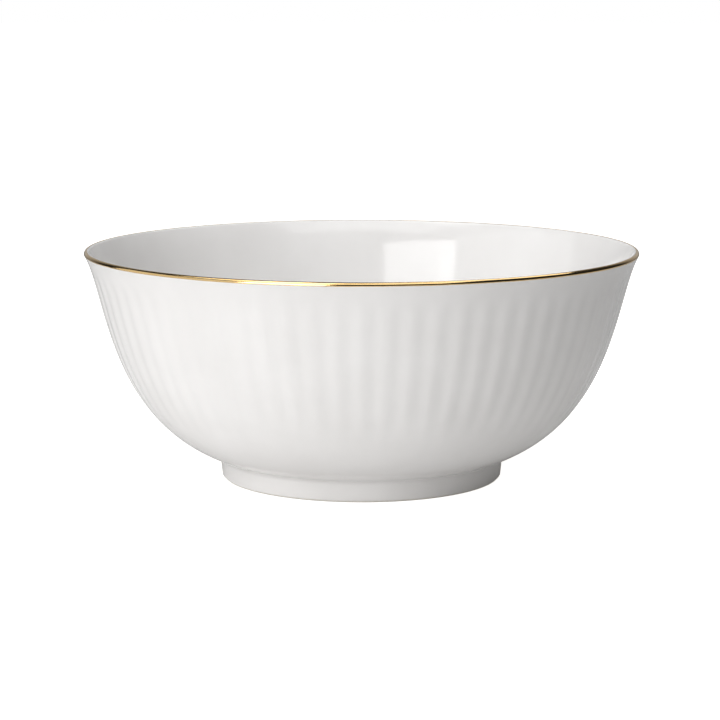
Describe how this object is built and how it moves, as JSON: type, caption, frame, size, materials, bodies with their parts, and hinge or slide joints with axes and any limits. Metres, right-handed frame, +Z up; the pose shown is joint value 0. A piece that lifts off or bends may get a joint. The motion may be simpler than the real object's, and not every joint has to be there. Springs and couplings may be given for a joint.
{
  "type": "porcelain serving bowl",
  "caption": "Round white porcelain serving bowl with a deep curved wall in shallow plain flutes, a low foot ring and a thin gold line on the lip.",
  "frame": {"origin": "centre of the foot ring's standing edge, on the surface the bowl stands on", "axes": "+Z up along the bowl's axis, out of its mouth; the bowl is round, so +X and +Y are any two level directions at a right angle"},
  "size_m": [0.24, 0.24, 0.1],
  "materials": {
    "porcelain_body": "matte",
    "porcelain_foot": "matte",
    "outer_glaze": "gloss",
    "well_glaze": "gloss",
    "base_glaze": "gloss",
    "lip_gold": "polished"
  },
  "bodies": {
    "root": {"bowl_body": "porcelain_body", "foot_ring": "porcelain_foot", "glaze_outside": "outer_glaze", "glaze_inside": "well_glaze", "glaze_base": "base_glaze", "gold_band": "lip_gold"}
  },
  "joints": []
}
